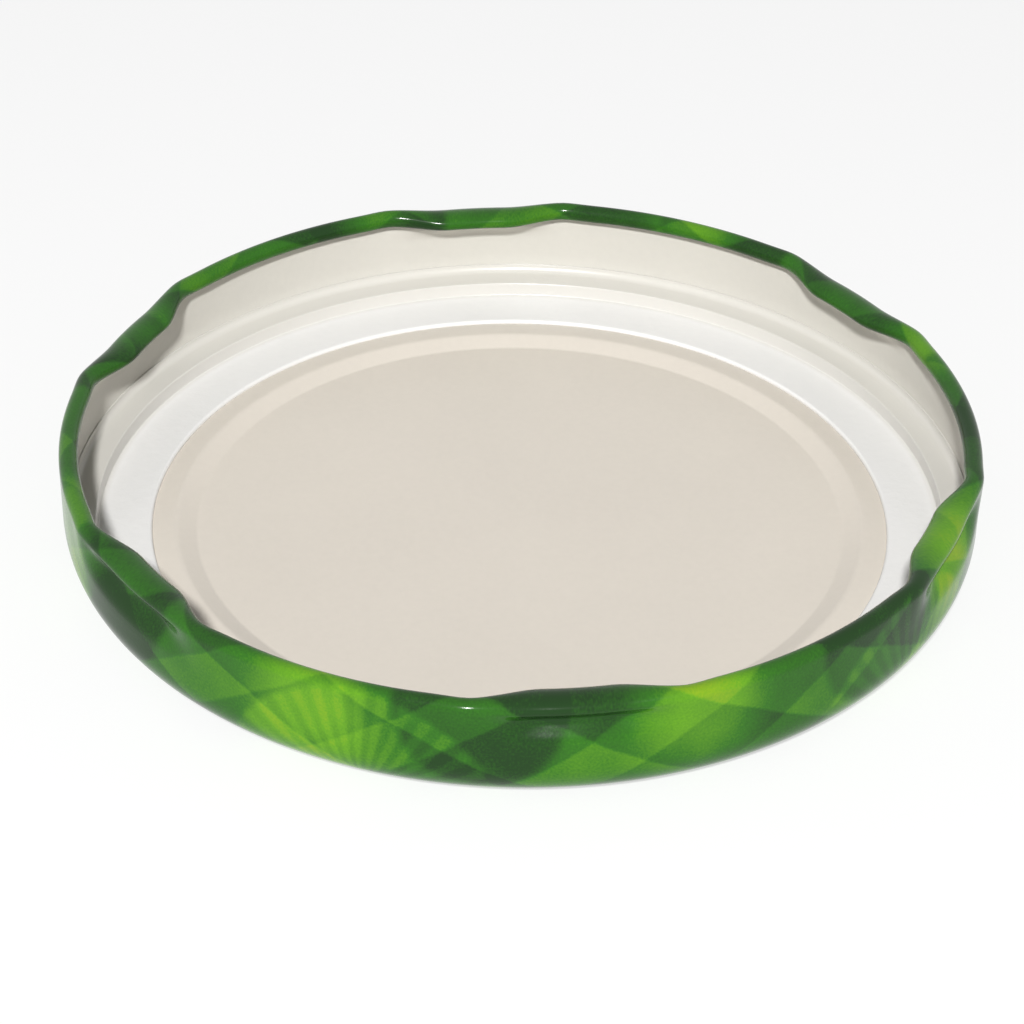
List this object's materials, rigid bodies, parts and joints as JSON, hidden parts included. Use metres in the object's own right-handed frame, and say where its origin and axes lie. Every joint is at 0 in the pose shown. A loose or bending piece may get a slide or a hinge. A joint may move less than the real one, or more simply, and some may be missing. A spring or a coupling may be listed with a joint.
{
  "type": "twist-off lid",
  "caption": "Lacquered tinplate lug lid with a rolled curl, inward lugs and a flowed-in sealing ring, for a glass jar.",
  "frame": {"origin": "centre of the resting face, the outer side of the lid's top, with the lid lying open side up", "axes": "+Z from the resting face towards the open side, along the lid's axis of revolution"},
  "size_m": [0.085, 0.085, 0.011],
  "materials": {
    "lacquered_tinplate": "glossy printed lacquer outside, cream lacquer inside",
    "sealing_compound": "smooth white plastisol"
  },
  "bodies": {
    "root": {"lid_shell": "lacquered_tinplate", "sealing_ring": "sealing_compound"}
  },
  "joints": []
}
